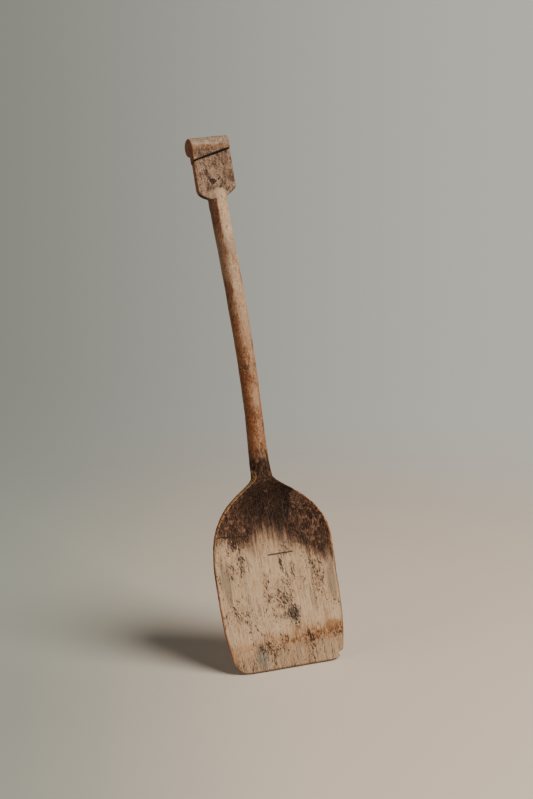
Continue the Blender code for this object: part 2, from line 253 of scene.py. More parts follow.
def blade_front(z, share):
    """Depth of the blade's hollow face, and how close that point is to the rim's crest."""
    middle = blade_edge(z)
    blank = middle - (middle - blade_rim(z)) * superellipse(share, blade_squareness(z))
    inner = 1 - CREST / blade_half_width(z)
    wall = blade_hollow(z) - blade_rim(z)
    hollow = blade_hollow(z) - wall * abs(share / inner) ** hollow_wall(z)
    crest = step(inner - 0.006, inner + 0.012, abs(share)) * step(1.0, 0.996, abs(share))
    return blend_max(blank, hollow, 1.6), crest * step(195, 250, z) * step(404, 394, z)


def front_wear(x, z):
    """How much deeper than its smooth shape the hollow face is: adze scallops, raised grain, dents and gouges."""
    scallop = 0.45 * rough(x / 26, z / 80, 0, 11) + 0.35 * rough(x / 13, z / 42, 0, 12)
    grain = 0.16 * rough(x / 2.6, z / 60, 0, 13) + 0.12 * rough(x / 5.2, z / 90, 0, 14)
    dent = max(0.0, rough(x / 9, z / 12, 0, 15) - 0.34) * 1.6
    edge = 0.35 * step(60, 0, z) * rough(x / 4, z / 9, 0, 16)
    return scallop + grain + dent + edge


def back_wear(x, z):
    """How much shallower than its smooth shape the back is."""
    scallop = 0.6 * rough(x / 22, z / 70, 4, 21) + 0.4 * rough(x / 11, z / 36, 4, 22)
    return scallop + 0.15 * rough(x / 2.6, z / 60, 4, 23)


def edge_height(z, x):
    """Lifts the lowest rows a little, so the blade's edge is nibbled and not ruled."""
    nibble = 0.9 * max(0.0, rough(x / 7, 0, 0, 31)) + 0.9 * max(0.0, rough(x / 2.2, 0, 0, 32) - 0.1)
    return z + nibble * step(9, 0, z)


def blade_ring(z):
    """One level of the blade, with the values that tell its crest, its hollow face and its sides from the rest."""
    left, right = blade_side(z, -1), blade_side(z, 1)
    middle, half = (left + right) / 2, (right - left) / 2
    ring, crests, faces, sides = [], [], [], []

    def place(x, y, crest, face):
        share = abs(x - middle) / half
        ring.append((x, y, edge_height(z, x)))
        crests.append(crest)
        faces.append(face)
        sides.append(step(0.972, 0.990, share) if face else step(0.90, 0.98, share))

    for k in range(FRONT_COLUMNS):
        share = -math.cos(math.pi * (k + 0.5) / FRONT_COLUMNS)
        share = 0.45 * share + 0.55 * (2 * (k + 0.5) / FRONT_COLUMNS - 1)
        x = middle + share * half
        y, crest = blade_front(z, share)
        calm = step(1.0, 0.95, abs(share))
        place(x, y + front_wear(x, z) * (0.25 + 0.75 * calm) * step(LAP_TOP, 384, z), crest, 1.0)

    squareness = back_squareness(z)
    edge = blade_edge(z)
    grooved = z >= TANG_END - 1
    groove = half - 0.02
    if z < LAP_TOP:
        segment = shaft_radius(z) ** 2 - max(0.0, lap_depth(z) - shaft_middle_y(z)) ** 2
        groove = min(groove, math.sqrt(max(4.0, segment)) + GAP) if grooved else 4.0
    floor = lap_depth(z) - GAP
    wide = half > groove + 0.5

    def back(x):
        share = (x - middle) / half
        return edge + (blade_back(z) - edge) * superellipse(share, squareness) - back_wear(x, z) * step(NECK, 340, z)

    def clear(x, y):
        """y, kept in front of the lap face where the tang lies."""
        return min(y, floor) if grooved and abs(x) <= groove + 1e-6 else y

    def back_point(x):
        return back(x) if wide else clear(x, back(x))

    place(middle + half, clear(middle + half, edge), 0.0, 0.0)
    for k in range(1, BACK_COLUMNS + 1):
        x = groove + (middle + half - groove) * (1 - k / BACK_COLUMNS)
        place(x, back_point(x), 0.0, 0.0)
    for k in range(GROOVE_COLUMNS + 1):
        x = groove * (1 - 2 * k / GROOVE_COLUMNS) * 0.9995
        place(x, clear(x, back(x)), 0.0, 0.0)
    for k in range(BACK_COLUMNS + 1):
        x = -groove + (middle - half + groove) * (k / BACK_COLUMNS)
        place(x, back_point(x) if k < BACK_COLUMNS else clear(x, edge), 0.0, 0.0)
    return ring, crests, faces, sides


def make_blade():
    rows = spaced((0, 12, 0.75), (12, 40, 1.6), (40, 300, 2.4), (300, 384, 1.8), (384, LAP_TOP - GAP, 3.0))
    made = [blade_ring(z) for z in rows]
    labels = ("crest", "face", "side")
    marks = {label: [v for row in made for v in row[k + 1]] for k, label in enumerate(labels)}
    return solid("blade_worn", [row[0] for row in made], marks)


# ---------------------------------------------------------------- shaft

SHAFT_COLUMNS = 60


def shaft_wear(turn, z):
    """How far the shaft's skin lies inside its round: spokeshave flats, hand wear, dents and raised grain.

    The flats are an eight-sided section, plain under the head and rubbed almost round where hands slide.
    """
    eighth = math.pi / 4
    within = (turn - 0.30 + 0.25 * rough(0, 0, z / 200, 41)) % eighth - eighth / 2
    flat = (1 - math.cos(eighth / 2) / math.cos(within)) * shaft_radius(z)
    plain = 0.25 + 0.65 * step(850, 930, z) + 0.2 * rough(0, 0, z / 90, 45)
    lumps = 0.5 * rough(math.cos(turn) * 1.1, math.sin(turn) * 1.1, z / 45, 42)
    grain = 0.16 * rough(math.cos(turn) * 7, math.sin(turn) * 7, z / 60, 43)
    dent = 2.2 * max(0.0, rough(math.cos(turn) * 1.6, math.sin(turn) * 1.6, z / 13, 44) - 0.30)
    return 0.1 + flat * plain + lumps + grain + dent


def shaft_ring(z):
    """One level of the shaft; below the lap's top its front is cut flat to lie in the blade's groove."""
    radius, middle_x, middle_y = shaft_radius(z), shaft_middle_x(z), shaft_middle_y(z)
    calm = step(LAP_TOP, LAP_TOP + 15, z) * step(HEAD_BOTTOM, HEAD_BOTTOM - 10, z)
    ring = []
    for k in range(SHAFT_COLUMNS):
        turn = 2 * math.pi * k / SHAFT_COLUMNS
        reach = radius - shaft_wear(turn, z) * (0.2 + 0.8 * calm)
        x, y = middle_x + reach * math.cos(turn), middle_y + reach * math.sin(turn)
        ring.append((x, max(y, lap_depth(z)) if z < LAP_TOP else y, z))
    return ring


def make_shaft():
    rows = spaced((TANG_END, 224, 2), (224, LAP_TOP - 0.01, 4), (LAP_TOP, HEAD_BOTTOM - GAP, 2.8))
    rings = [shaft_ring(z) for z in rows]
    turns = [2 * math.pi * k / SHAFT_COLUMNS for k in range(SHAFT_COLUMNS)]
    for z in (HEAD_BOTTOM - GAP, SHAFT_HIGH.z):
        rings.append([
            (HEAD_X + TENON_RADIUS * math.cos(turn), TENON_DEPTH + TENON_RADIUS * math.sin(turn), z) for turn in turns
        ])
    return solid("shaft_worn", rings)


# ---------------------------------------------------------------- head

HEAD_COLUMNS = 110
SLOT_FRONT = 1.7  # how far the slanted joint's arrises have broken away at the front
SLANT_FROM = 1000.0  # above this the paddle's levels tilt, until the top one follows the joint
HEAD_ROWS_END = 1052.0


def rib_half_depth(z, x):
    """Half the depth of the shaft's round, carried up through the head as a rib and a tongue."""
    return math.sqrt(max(0.0, shaft_radius(z) ** 2 - (x - HEAD_X) ** 2))


def paddle_wear(x, z, side):
    """Dents, knife flats and raised grain in the paddle's faces."""
    flat = 0.5 * rough(x / 17, z / 30, side, 51) + 0.3 * rough(x / 7, z / 15, side, 52)
    gouge = 1.5 * max(0.0, rough((x + 0.35 * z) / 5, z / 16, side, 53) - 0.28)
    return 0.35 + flat + gouge + 0.12 * rough(x / 2.2, z / 30, side, 54)


def broken_arris(x, y):
    """How far the joint's edge has worn back where it meets the front or the side."""
    front = step(HEAD_FRONT + 5.0, HEAD_FRONT, y)
    side = step(HEAD_HALF - 4.0, HEAD_HALF, abs(x - HEAD_X))
    uneven = 1.0 + 0.8 * rough(x / 9, y / 9, 0, 61) + 0.5 * rough(x / 3, y / 3, 0, 62)
    taper = 0.40 + 0.60 * step(44, 4, abs(x - 6))
    return max(front, 0.8 * side) * SLOT_FRONT * uneven * taper


def head_ring(z):
    """One level of the paddle: slab, rib behind and tongue in front, tilting with the joint towards the top."""
    ring = []
    tilt = max(0.0, (z - SLANT_FROM) / (HEAD_ROWS_END - SLANT_FROM))
    for k in range(HEAD_COLUMNS):
        turn = 2 * math.pi * k / HEAD_COLUMNS
        wide, deep = math.cos(turn), math.sin(turn)
        share = math.copysign(abs(wide) ** 0.55, wide)
        reach = head_right(z) if wide > 0 else head_left(z)
        x = HEAD_X + share * (reach - 0.4 + 0.35 * rough(z / 14, wide, 2, 63))
        slab = HEAD_THICK / 2 * superellipse(share, 7.0)
        if deep >= 0:
            rib = shaft_middle_y(z) + rib_half_depth(z, x)
            y = blend_max(rib, HEAD_MIDDLE + slab, 3.0) - paddle_wear(x, z, 3) * 0.7
        else:
            face = HEAD_MIDDLE - slab
            tongue = shaft_middle_y(z) - rib_half_depth(z, x)
            y = face + min(0.0, tongue - face) * tongue_share(z) + paddle_wear(x, z, 0) * step(1.0, 0.9, abs(share))
        top = joint_height(x, y) - GAP / 2 - broken_arris(x, y)
        ring.append((x, y, SLANT_FROM + tilt * (top - SLANT_FROM) if tilt else z))
    return ring


def make_head():
    rows = spaced((HEAD_BOTTOM, 978, 1.2), (978, SLANT_FROM, 2.2), (SLANT_FROM, HEAD_ROWS_END, 2.0))
    return solid("handle_head_worn", [head_ring(z) for z in rows])


# ---------------------------------------------------------------- roll

ROLL_CENTRE = HEAD_FRONT + ROLL_RADIUS  # depth of the roll's centre line
WEB_BACK = HEAD_FRONT + HEAD_THICK
FRONT_ROWS, ARC_ROWS, BACK_ROWS = 13, 44, 8
ROLL_BEVEL = 2.2


def roll_profile():
    """The round part of the roll's outline, from its front over the top to the web behind: (depth, height)."""
    arc = [math.pi * (1 - 1.5 * k / ARC_ROWS) for k in range(ARC_ROWS + 1)]
    curve = [(ROLL_CENTRE + ROLL_RADIUS * math.cos(a), ROLL_MIDDLE + ROLL_RADIUS * math.sin(a)) for a in arc]
    last = curve[-1][1]
    return curve + [(WEB_BACK + 1.2, last - 0.6), (WEB_BACK, last - 3.0)]


def roll_ring(x, level_profile, inset):
    """The roll's whole outline at x, worn, and drawn in by inset near the ends."""
    rise = ROLL_RISE * (x - HEAD_X)
    centre_z = ROLL_MIDDLE + rise
    foot = joint_height(x, HEAD_FRONT) + GAP / 2
    ring = [(HEAD_FRONT, foot + (centre_z - foot) * k / FRONT_ROWS) for k in range(FRONT_ROWS)]
    ring += [(y, z + rise) for y, z in level_profile]
    heel = joint_height(x, WEB_BACK) + GAP / 2
    start = ring[-1][1]
    ring += [(WEB_BACK, start + (heel - start) * k / BACK_ROWS) for k in range(1, BACK_ROWS + 1)]
    for k in range(1, BACK_ROWS):
        y = WEB_BACK + (HEAD_FRONT - WEB_BACK) * k / BACK_ROWS
        ring.append((y, joint_height(x, y) + GAP / 2))
    made = []
    for y, z in ring:
        away = Vector((y - ROLL_CENTRE + 6, z - centre_z + 4)).normalized() * inset
        worn = 0.3 + 0.4 * rough(x / 16, y / 12, z / 12, 71) + 0.25 * rough(x / 30, y / 3, z / 3, 72)
        dent = 1.3 * max(0.0, rough(x / 7, y / 7, z / 7, 73) - 0.3)
        low = max(0.0, 1 - (z - joint_height(x, y)) / 5.0)
        inwards = 1 if y < ROLL_CENTRE else -1
        sunk = worn * 0.8 if z > centre_z else 0
        made.append((x, y - away.x + (worn + dent) * inwards * (1 - low * 0.5),
                     z - away.y - sunk + low * broken_arris(x, y)))
    return made


def make_roll():
    profile = roll_profile()
    left, right = ROLL_LOW.x + 0.3, ROLL_HIGH.x - 0.3
    steps = [0.0, 0.25, 0.6, 1.1, 1.8, 2.8]
    stations = [left + s for s in steps] + spaced((left + 4.2, right - 4.2, 1.9)) + [right - s for s in steps[::-1]]
    rings = []
    for x in stations:
        near = min(x - left, right - x)
        inset = ROLL_BEVEL - math.sqrt(max(0.0, ROLL_BEVEL**2 - max(0.0, ROLL_BEVEL - near) ** 2))
        rings.append(roll_ring(x, profile, inset))
    return solid("grip_roll_worn", rings)


# ---------------------------------------------------------------- shader expressions

NOISE_MEAN = 0.5


class Sock:
    """One output in a material's node tree. Arithmetic on it adds Math nodes."""

    def __init__(self, tree, socket):
        self.tree = tree
        self.socket = socket

    def math(self, operation, a, b):
        return add_node(self.tree, "ShaderNodeMath", {"operation": operation}, i0=a, i1=b)

    def __add__(self, other):
        return self.math("ADD", self, other)

    def __radd__(self, other):
        return self.math("ADD", other, self)

    def __sub__(self, other):
        return self.math("SUBTRACT", self, other)

    def __rsub__(self, other):
        return self.math("SUBTRACT", other, self)

    def __mul__(self, other):
        return self.math("MULTIPLY", self, other)

    def __rmul__(self, other):
        return self.math("MULTIPLY", other, self)

    def __truediv__(self, other):
        return self.math("DIVIDE", self, other)

    def __rtruediv__(self, other):
        return self.math("DIVIDE", other, self)

    def __pow__(self, other):
        return self.math("POWER", self, other)

    def __rpow__(self, other):
        return self.math("POWER", other, self)

    def size(self):
        """Its value without the sign."""
        return self.math("ABSOLUTE", self, 0.0)

    def above(self, other):
        """The larger of the two."""
        return self.math("MAXIMUM", self, other)

    def sway(self, amount):
        """For a noise: its distance from the mean, times amount."""
        return (self - NOISE_MEAN) * amount

    def step(self, low, high):
        """0 below low, 1 above high, smooth between; low may be the larger."""
        flip = low > high
        return add_node(
            self.tree, "ShaderNodeMapRange", {"interpolation_type": "SMOOTHSTEP"},
            i0=self, i1=min(low, high), i2=max(low, high), i3=1.0 if flip else 0.0, i4=0.0 if flip else 1.0,
        )

    def near(self, middle, end, full):
        """1 where the value is within full of middle, 0 where it is end or more away."""
        return (self - middle).size().step(end, full)


def add_node(tree, kind, settings=None, output=0, **inputs):
    """Adds one node. settings come first, then inputs by index (i0, i1, ...) or by name; returns one output."""
    node = tree.nodes.new(kind)
    for key, value in (settings or {}).items():
        if key == "stops":
            ramp = node.color_ramp
            while len(ramp.elements) < len(value):
                ramp.elements.new(0.5)
            for element, (place, colour) in zip(ramp.elements, value):
                element.position = place
                element.color = (*colour, 1.0)
        else:
            setattr(node, key, value)
    for key, value in inputs.items():
        numbered = key[0] == "i" and key[1:].isdigit()
        socket = node.inputs[int(key[1:]) if numbered else key]
        if isinstance(value, Sock):
            tree.links.new(value.socket, socket)
        elif socket.type == "RGBA":
            socket.default_value = (*value, 1.0)
        else:
            socket.default_value = value
    return Sock(tree, node.outputs[output])


def mix_colours(tree, share, a, b):
    """Colour a turned towards b by share. A Mix node's colour sockets are inputs 6 and 7 and output 2."""
    return add_node(tree, "ShaderNodeMix", {"data_type": "RGBA"}, output=2, i0=share, i6=a, i7=b)


DRY_SHEEN = 0.2


class Wood:
    """A material under construction: its coordinates in millimetres, with helpers for noise and colour.

    layers are the noises that it keeps under their own names, each (wide, tall, detail, roughness, seed).
    """

    def __init__(self, name, **layers):
        self.material = bpy.data.materials.new(name)
        self.material.use_nodes = True
        self.tree = self.material.node_tree
        self.surface = self.tree.nodes["Principled BSDF"]
        place = self.add("ShaderNodeTexCoord", output="Object")
        self.at = self.add("ShaderNodeVectorMath", {"operation": "SCALE"}, i0=place, Scale=1 / MM)
        split = self.add("ShaderNodeSeparateXYZ", i0=self.at)
        self.x, self.y, self.z = (Sock(self.tree, o) for o in split.socket.node.outputs)
        for label, sizes in layers.items():
            setattr(self, label, self.noise(*sizes))

    def add(self, kind, settings=None, output=0, **inputs):
        return add_node(self.tree, kind, settings, output, **inputs)

    def mark(self, label):
        """A value that the mesh carries at each point."""
        return self.add("ShaderNodeAttribute", {"attribute_name": label}, output="Fac")

    def stretched_noise(self, at, stretch, shift, detail, roughness):
        """Noise read at a place that is first stretched and shifted."""
        moved = self.add("ShaderNodeVectorMath", {"operation": "MULTIPLY_ADD"}, i0=at, i1=stretch, i2=shift)
        return self.add("ShaderNodeTexNoise", i0=moved, Scale=1.0, Detail=detail, Roughness=roughness)

    def noise(self, wide, tall, detail, roughness, seed):
        """Noise whose lumps are wide mm across and tall mm along the grain."""
        stretch, shift = (1 / wide, 1 / wide, 1 / tall), (seed, seed * 1.7, seed * 0.6)
        return self.stretched_noise(self.at, stretch, shift, detail, roughness)

    def mix(self, share, a, b):
        """Colour a turned towards b by share."""
        return mix_colours(self.tree, share, a, b)

    def ramp(self, value, *stops):
        """The colour at value, between stops of (value, colour)."""
        return self.add("ShaderNodeValToRGB", {"stops": stops}, i0=value)

    def away(self, x, z, wide, tall):
        """How far a point on the X-Z plane is from (x, z): squared, and 1 at wide across or tall along."""
        across, along = (self.x - x) / wide, (self.z - z) / tall
        return across * across + along * along

    def spot(self, x, z, wide, tall, ragged):
        """1 in the middle of an uneven patch on the X-Z plane, 0 outside it."""
        return (self.away(x, z, wide, tall) + ragged).step(1.15, 0.35)

    def finish(self, colour, roughness, height, strength, distance):
        """Links the colour, the roughness and a bump, distance in metres deep, to the surface."""
        bump = self.add("ShaderNodeBump", Strength=strength, Distance=distance, Height=height)
        self.tree.links.new(colour.socket, self.surface.inputs["Base Color"])
        self.tree.links.new(roughness.socket, self.surface.inputs["Roughness"])
        self.tree.links.new(bump.socket, self.surface.inputs["Normal"])
        self.surface.inputs["Specular IOR Level"].default_value = DRY_SHEEN
        return self.material


# ---------------------------------------------------------------- the blade's wood

BORDER_LEFT = 266.0  # height of the dark zone's border at the far left
BORDER_STEPS = (  # from x, to x, and how far the border rises between them
    (-95, -62, -17), (-48, -16, 19), (-8, 20, -14), (20, 48, -13), (48, 80, -19), (80, 116, -16),
)
FLECK_CLUSTERS = (  # where black flecks gather: x, z, reach across, reach along, weight
    (24, 104, 21, 22, 1.25), (16, 146, 24, 52, 0.82), (22, 82, 20, 16, 1), (-24, 112, 14, 34, 0.75),
    (-84, 116, 24, 26, 0.7), (-66, 48, 16, 16, 0.8), (-55, 46, 8, 14, 1), (88, 178, 20, 52, 0.7),
    (-96, 202, 24, 22, 0.7), (38, 190, 8, 24, 0.9), (-72, 230, 9, 48, 1), (60, 56, 80, 14, 0.55),
    (16, 205, 7, 22, 1), (-76, 262, 36, 26, 0.9), (112, 240, 26, 44, 0.8), (-25, 178, 12, 16, 0.7),
    (80, 256, 50, 24, 0.6),
)
PALE_BLOOM, SCRATCH_BROWN = (0.4, 0.235, 0.165), (0.2, 0.1, 0.052)
OCHRE, TIDE_BROWN = (0.27, 0.12, 0.04), (0.105, 0.05, 0.024)
DAMP_BROWN, DRIP_BROWN = (0.3, 0.198, 0.116), (0.14, 0.068, 0.033)
WEATHERED, GOUGE_BROWN = (0.19, 0.15, 0.105), (0.15, 0.07, 0.034)
SMEAR_GREY, MARK_BLACK = (0.062, 0.054, 0.049), (0.017, 0.012, 0.01)
RUSSET_HIGH, RUSSET_LOW, RUSSET_RIGHT = (0.07, 0.021, 0.009), (0.3, 0.112, 0.043), (0.23, 0.105, 0.05)
RUBBED_CREST_HIGHLIGHT, FOOT_CONTACT_SHADE = (0.62, 0.33, 0.14), (0.075, 0.034, 0.017)


def neck_soot(w):
    """The black, hand-darkened wood round the neck, the same on the blade's collar and on the shaft."""
    reach = w.z + w.streak.sway(46) + w.mottle.sway(52) + (w.x + 4).size() * 0.5
    shade = w.ramp(w.fibre * 0.45 + w.mottle * 0.55, (0.4, (0.008, 0.005, 0.004)), (0.48, (0.03, 0.015, 0.01)),
                   (0.55, (0.085, 0.038, 0.02)), (0.63, (0.33, 0.175, 0.09)))
    return reach.step(450, 412), shade


def dark_shares(w):
    """How dark the handled wood is that comes down from the neck, and how black it is in its middle."""
    border = BORDER_LEFT
    for start, end, rise in BORDER_STEPS:
        border = border + w.x.step(start, end) * rise
    middle = w.x.near(2, 66, 34)  # here the border breaks up into streaks
    down = w.z - border + w.streak.sway(60.0 + middle * 40) + w.fibre.sway(40.0 + middle * 70)
    down = down + w.mottle.sway(60) + w.fleck.sway(30)
    dark = ((down + 3.0 + middle * 2) / (middle * 14.0 + 15)).step(-1, 1)
    heart = (w.x - 6).size() + w.cloud.sway(70) + w.streak.sway(60) - (w.z - 330) * 0.35
    return dark, down.step(8, 50) * heart.step(88, 40)


def bare_wood(w, dark, deep):
    """Pale wood below and dark wood above, with a bloom and long scratches in the black."""
    tone = w.fibre * 0.34 + w.streak * 0.18 + w.band * 0.1 + w.cloud * 0.14 + w.mottle * 0.24
    pale = w.ramp(tone, (0.37, (0.17, 0.088, 0.045)), (0.43, (0.37, 0.235, 0.14)), (0.49, (0.545, 0.39, 0.252)),
                  (0.58, (0.66, 0.5, 0.345)))
    dusk = w.ramp(w.fleck * 0.18 + w.mottle * 0.36 + w.fibre * 0.26 + w.speck * 0.2,
                  (0.425, (0.005, 0.003, 0.003)), (0.474, (0.033, 0.016, 0.01)), (0.522, (0.11, 0.056, 0.037)),
                  (0.575, (0.34, 0.192, 0.126)))
    soot = w.ramp(w.fibre * 0.5 + w.fleck * 0.5, (0.4, (0.003, 0.002, 0.002)), (0.505, (0.008, 0.005, 0.004)),
                  (0.585, (0.072, 0.035, 0.022)))
    colour = w.mix(deep, w.mix(dark, pale, dusk), soot)
    bloom = w.spot(66, 334, 17, 17, w.mottle.sway(2.2)) * (w.fibre * 0.5 + w.speck * 0.5).step(0.46, 0.58)
    colour = w.mix(bloom * 0.75, colour, PALE_BLOOM)
    scratch = w.noise(2.6, 210, 2, 0.5, 21).near(NOISE_MEAN, 0.012, 0.003)
    scratch = scratch * w.x.step(-70, -52) * w.x.step(-12, -22)
    return w.mix(scratch * deep * 0.6, colour, SCRATCH_BROWN)


def add_tide(w, colour):
    """A rust-brown tide mark above the edge, feathered upwards, with an ochre end at the right."""
    tide = w.z - (54.0 + w.x * 0.075) + w.cloud.sway(30) + w.fibre.sway(26) + w.streak.sway(26)
    stain = (tide.step(-24, -4) * tide.step(30, 2)) * (0.6 + 0.4 * w.x.step(-40, 50))
    stain = stain * (w.mottle + w.fleck.sway(0.7) + w.fibre.sway(0.5)).step(0.35, 0.52)
    rust = w.ramp(w.fibre, (0.42, (0.19, 0.072, 0.022)), (0.56, (0.43, 0.2, 0.072)))
    colour = w.mix(stain * 0.95, colour, rust)
    ochre = w.spot(102, 70, 17, 13, w.mottle.sway(3) + w.fleck.sway(2))
    colour = w.mix(ochre * (w.fibre * 0.6 + w.speck * 0.4).step(0.38, 0.56) * 0.7, colour, OCHRE)
    brink = tide.near(-3, 3.2, 0.6) * w.x.step(-30, 10) * w.fleck.step(0.4, 0.5)
    colour = w.mix(brink * 0.6, colour, TIDE_BROWN)
    below = tide.step(-2, -22) * (0.35 + w.mottle * 0.7)
    colour = w.mix(below * 0.52, colour, DAMP_BROWN)
    drip = below * (w.fibre * 0.6 + w.streak * 0.4).step(0.525, 0.43)
    return w.mix(drip * 0.8, colour, DRIP_BROWN)


def add_grey(w, colour, face, dark):
    """Weathered wood: a blue-grey patch near the edge and long streaks by the sides."""
    ragged = w.streak.sway(3.4)
    patch = w.spot(-57, 28, 20, 23, ragged + w.mottle.sway(3.4) + w.fibre.sway(3))
    slate = w.ramp(w.fibre, (0.42, (0.085, 0.085, 0.075)), (0.56, (0.24, 0.235, 0.2)))
    colour = w.mix(patch * face * 0.75, colour, slate)
    grey = w.spot(-110, 182, 13, 52, ragged).above(w.spot(119, 160, 10, 46, ragged))
    grey = grey.above(w.spot(73, 128, 8, 30, w.streak.sway(3.6)) * 0.6)
    grey = grey.above((w.band + w.streak.sway(0.9)).step(0.6, 0.74) * 0.6)
    return w.mix(grey * (0.3 + w.mottle * 0.7) * (1.0 - dark * 0.8), colour, WEATHERED)


def add_flecks(w, colour, face):
    """Brown gouges and a grey smear where black flecks gather. Returns the colour and the flecks' own share."""
    many = 0.0
    for x, z, wide, tall, weight in FLECK_CLUSTERS:
        many = (w.away(x, z, wide, tall).step(1.3, 0) * weight).above(many)
    swell = many * 0.098 + w.noise(34, 52, 2, 0.5, 8).sway(0.36) + w.mottle.sway(0.18)
    dash = w.noise(2.2, 9, 2, 0.55, 9)
    turned = w.add("ShaderNodeVectorRotate", {"rotation_type": "Y_AXIS"}, Vector=w.at, Angle=0.75)
    slant = w.stretched_noise(turned, (0.36, 0.36, 0.1), (4, 1, 7), 2, 0.5)
    black = (w.fleck + swell).step(0.67, 0.71).above((dash + swell).step(0.67, 0.71))
    black = black.above((slant + swell).step(0.69, 0.73))
    brown = (dash * 0.3 + w.speck * 0.35 + w.fibre * 0.35 + swell * 0.6).step(0.535, 0.6) * face
    colour = w.mix(brown * 0.6, colour, GOUGE_BROWN)
    smear = w.spot(13, 103, 19, 9, w.streak.sway(2) + w.mottle.sway(3))
    smear = smear.above(w.spot(26, 104, 10, 17, w.fleck.sway(8) + w.mottle.sway(5)) * 1.5)
    smear = smear * (w.fibre * 0.5 + w.fleck * 0.5).step(0.62, 0.46)
    return w.mix(smear * face * 0.72, colour, SMEAR_GREY), black


def blade_lines(w):
    """Hairlines with the grain, the cut across it, the crack from the left rim, the split and the long runnel."""
    hair = w.noise(4.4, 250, 2, 0.5, 12).near(NOISE_MEAN, 0.008, 0.002) * w.noise(14, 44, 2, 0.5, 13).step(0.52, 0.6)
    cut = (w.z - w.x * 0.012 + w.mottle.sway(2.4)).near(226.4, 1.9, 0.7) * w.x.near(16.5, 29, 25)
    crack = (w.z + (w.x + 105) * 0.06 + w.mottle.sway(7)).near(273, 1.7, 0.5) * w.x.near(-87, 48, 42)
    crack = crack * (w.x + w.mottle.sway(60) + 92).step(14, 0).above(w.fleck.step(0.42, 0.52))
    split = (w.x + w.mottle.sway(7) + (w.z - 200) * 0.1).near(16, 2.2, 0.6)
    split = split * w.z.near(202, 17, 12) * w.fleck.step(0.4, 0.52)
    runnel = (w.x + w.mottle.sway(5)).near(-71.5, 1.2, 0.4)
    runnel = runnel * w.z.near(234, 31, 22) * w.fleck.step(0.42, 0.54)
    return hair.above(cut).above(crack).above(split).above(runnel)


def add_edges(w, colour):
    """Red-brown down the sides, rubbed bright with a painted highlight on the crest, painted contact shade along the
    very edge, black at the neck.
    """
    russet = w.mix((w.z + w.mottle.sway(90)).step(230, 130), RUSSET_HIGH, RUSSET_LOW)
    side = w.mark("side") * (1.0 + w.mottle.sway(1.2))
    colour = w.mix(side * 0.94, colour, w.mix(w.x.step(-60, 60), russet, RUSSET_RIGHT))
    # partly painted highlight: the rim's crest is coloured bright as rubbed wear and as a painted highlight on the
    # lit arris, brighter towards the neck
    crest = w.mark("crest") * (w.mottle * 0.4 + w.fleck * 0.6).step(0.4, 0.56)
    colour = w.mix(crest * (0.72 + w.z.step(280, 340) * 0.25), colour, RUBBED_CREST_HIGHLIGHT)
    # painted shade: the lowest few millimetres of the blade are darkened as a painted contact shadow, and a bite near
    # the left corner is darkened with them
    bite = w.x.near(-106, 16, 4) * w.z.near(14, 16, 4) * w.fleck.step(0.46, 0.56)
    foot = (w.z + w.fleck.sway(9) + w.fibre.sway(6)).step(4.6, 0.8).above(bite)
    colour = w.mix(foot * 0.82, colour, FOOT_CONTACT_SHADE)
    share, shade = neck_soot(w)
    return w.mix(share * w.z.step(352, 384) * (1.0 - crest * 0.8), colour, shade)


def blade_wood():
    w = Wood(
        "blade_wood_worn", fibre=(1.3, 30, 4, 0.7, 1), streak=(5, 150, 3, 0.6, 2), band=(17, 420, 2, 0.5, 3),
        cloud=(34, 60, 4, 0.6, 4), mottle=(6.5, 13, 4, 0.7, 5), fleck=(2.9, 6, 3, 0.6, 6),
        speck=(1.3, 2.2, 3, 0.7, 7),
    )
    face = w.mark("face")
    dark, deep = dark_shares(w)
    colour = add_grey(w, add_tide(w, bare_wood(w, dark, deep)), face, dark)
    colour, black = add_flecks(w, colour, face)
    black = black.above(blade_lines(w)) * face
    colour = add_edges(w, w.mix(black * 0.86, colour, MARK_BLACK))
    height = w.fibre * 0.5 + w.streak * 0.45 + w.mottle * 0.45 + w.fleck * 0.2 - black * 1.4
    return w.finish(colour, 0.68 + w.fibre * 0.2, height, 1, 0.0009)


# ---------------------------------------------------------------- the shaft's wood

SHAFT_RUBBED, SHAFT_GREY = (0.52, 0.345, 0.22), (0.255, 0.195, 0.145)
SHAFT_BLOT, SHAFT_MARK = (0.115, 0.042, 0.019), (0.035, 0.018, 0.011)


def shaft_marks(w):
    """A knot with a short check beside it, flecks, and cracks with the grain."""
    knot = w.spot(-7, 601, 5, 6, w.fleck.sway(2.4))
    check = (w.z - w.x * 0.25 + w.mottle.sway(12)).near(604, 2.4, 0.5) * w.fleck.step(0.4, 0.54)
    flecks = (w.fleck + w.noise(26, 60, 2, 0.5, 39).sway(0.34)).step(0.65, 0.73)
    crack = w.noise(4, 260, 2, 0.5, 37).near(NOISE_MEAN, 0.009, 0.002) * w.noise(12, 70, 2, 0.5, 38).step(0.5, 0.58)
    return flecks.above(knot).above(check * 0.8).above(crack)


